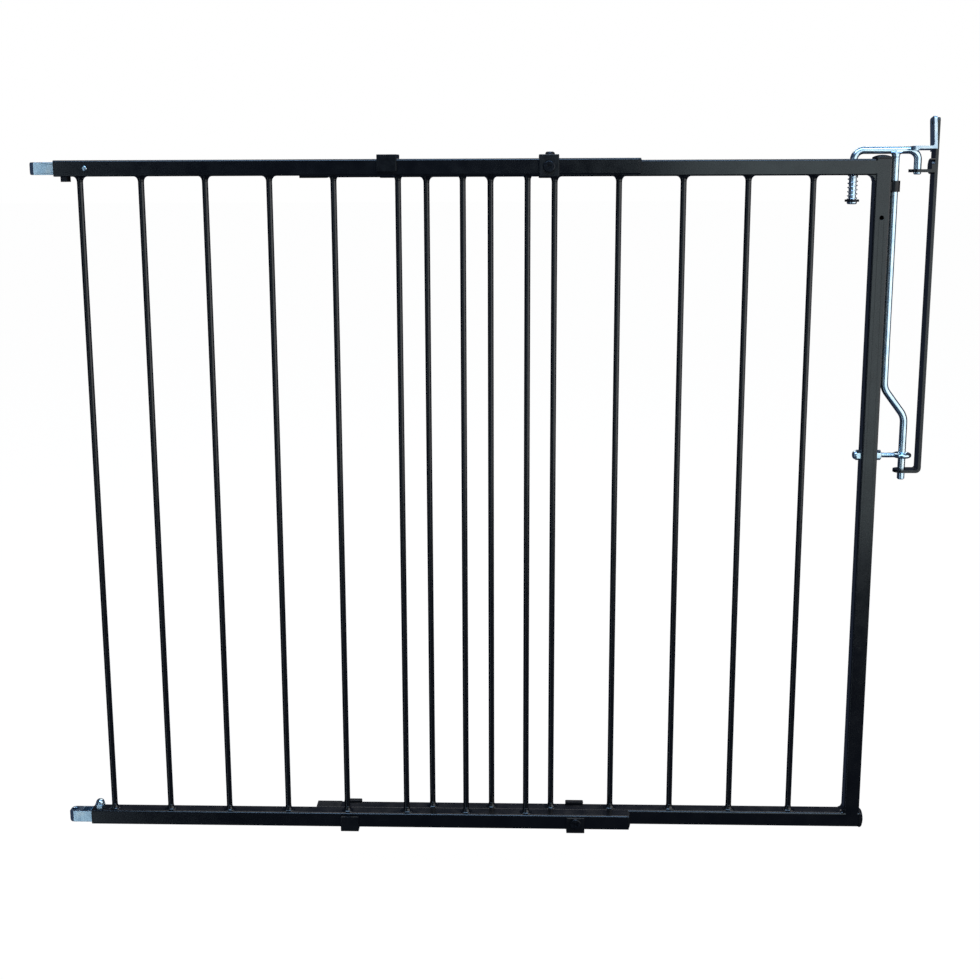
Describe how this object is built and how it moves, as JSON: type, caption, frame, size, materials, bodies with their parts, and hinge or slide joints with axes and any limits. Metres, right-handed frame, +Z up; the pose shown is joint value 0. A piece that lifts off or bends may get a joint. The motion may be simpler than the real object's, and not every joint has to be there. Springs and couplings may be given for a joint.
{
  "type": "gravity gate latch with extending safety gate",
  "caption": "Extending barred metal gate with a spring-assisted gravity latch: a T-shaped drop rod that falls into a wall strike.",
  "frame": {"origin": "midway between the strike's two wall screw holes, on the strike's wall face", "axes": "+X into the wall that carries the strike, along the closed gate from its hinge plugs to the strike; +Y away from the side the gate is seen from, the way it swings open; +Z up"},
  "size_m": [0.9516, 0.0432, 0.7943],
  "materials": {
    "black_powder_coat": "gloss",
    "black_nylon": "satin",
    "black_fastener": "gloss",
    "zinc_plate": "gloss",
    "spring_wire": "gloss"
  },
  "bodies": {
    "strike": {"strike_bar": "black_powder_coat", "strike_top_tab": "black_powder_coat", "stop_bracket": "zinc_plate"},
    "hinge_section": {"hinge_top_rail": "black_powder_coat", "hinge_bottom_rail": "black_powder_coat", "hinge_bar_1": "black_powder_coat", "hinge_bar_2": "black_powder_coat", "hinge_bar_3": "black_powder_coat", "hinge_bar_4": "black_powder_coat", "hinge_bar_5": "black_powder_coat", "hinge_bar_6": "black_powder_coat", "hinge_bar_7": "black_powder_coat", "hinge_bar_8": "black_powder_coat", "hinge_rail_plugs": "black_nylon", "hinge_plug_top": "zinc_plate", "hinge_plug_bottom": "zinc_plate", "plug_set_bolt": "black_fastener", "plug_cap_nut": "zinc_plate", "rail_rivet": "zinc_plate", "hinge_clamp_top": "black_nylon", "hinge_clamp_bottom": "black_nylon", "clamp_bolts": "black_fastener", "clamp_top_screw": "black_fastener"},
    "latch_section": {"latch_top_rail": "black_powder_coat", "latch_bottom_rail": "black_powder_coat", "end_post": "black_powder_coat", "latch_bar_1": "black_powder_coat", "latch_bar_2": "black_powder_coat", "latch_bar_3": "black_powder_coat", "latch_bar_4": "black_powder_coat", "latch_bar_5": "black_powder_coat", "latch_bar_6": "black_powder_coat", "latch_bar_7": "black_powder_coat", "post_cap": "black_nylon", "rail_end_cap": "black_nylon", "glide_sleeves": "black_nylon", "latch_clamp_top": "black_nylon", "latch_clamp_bottom": "black_nylon", "rod_guide": "black_nylon", "eye_bolt": "zinc_plate", "eye_lock_nut": "zinc_plate", "eye_cap_nut": "zinc_plate", "latch_spring": "spring_wire"},
    "latch_rod": {"latch_rod": "zinc_plate", "spring_washer": "black_fastener", "rod_end_cap": "zinc_plate"}
  },
  "joints": [
    {"name": "leaf_swing", "type": "hinge", "parent": "strike", "child": "hinge_section", "pos_m": [-0.945, -0.018, 0.1252], "axis": [0, 0, 1], "range_deg": [0, 90]},
    {"name": "extend", "type": "slide", "parent": "hinge_section", "child": "latch_section", "axis": [1, 0, 0], "range_m": [-0.255, 0]},
    {"name": "latch_lift", "type": "slide", "parent": "latch_section", "child": "latch_rod", "axis": [0, 0, 1], "range_m": [0, 0.0165], "stiffness_N_per_m": 300, "springref_m": -0.02, "deforming": ["latch_spring"]}
  ]
}
